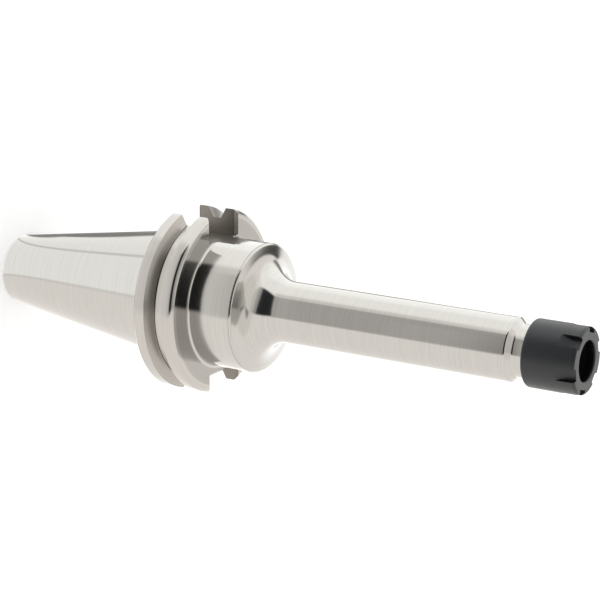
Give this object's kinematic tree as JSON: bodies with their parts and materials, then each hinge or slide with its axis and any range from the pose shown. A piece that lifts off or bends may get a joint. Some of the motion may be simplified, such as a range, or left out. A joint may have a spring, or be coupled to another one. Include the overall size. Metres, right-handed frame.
{
  "type": "collet chuck holder",
  "caption": "Steep-taper collet chuck holder with a V-flange, drive key slots, a long slim nose and a small dark clamping nut.",
  "frame": {"origin": "centre of the taper's gauge plane, on the spindle axis", "axes": "+Z along the spindle axis from the taper towards the clamping nut, +Y through the middle of the deeper key slot"},
  "size_m": [0.0634, 0.0614, 0.2207],
  "materials": {
    "ground_steel": "ground and polished",
    "black_oxide": "black oxide, satin",
    "dark_screw": "black oxide, satin"
  },
  "bodies": {
    "holder": {"holder_body": "ground_steel"},
    "nut": {"clamping_nut": "black_oxide"},
    "stop": {"stop_screw": "dark_screw"}
  },
  "joints": [
    {"name": "nut_turn", "type": "hinge", "parent": "holder", "child": "nut", "pos_m": [0, 0, 0.1434], "axis": [0, 0, 1], "continuous": true},
    {"name": "stop_setting", "type": "slide", "parent": "holder", "child": "stop", "axis": [0, 0, 1], "range_m": [-0.012, 0.006]}
  ]
}
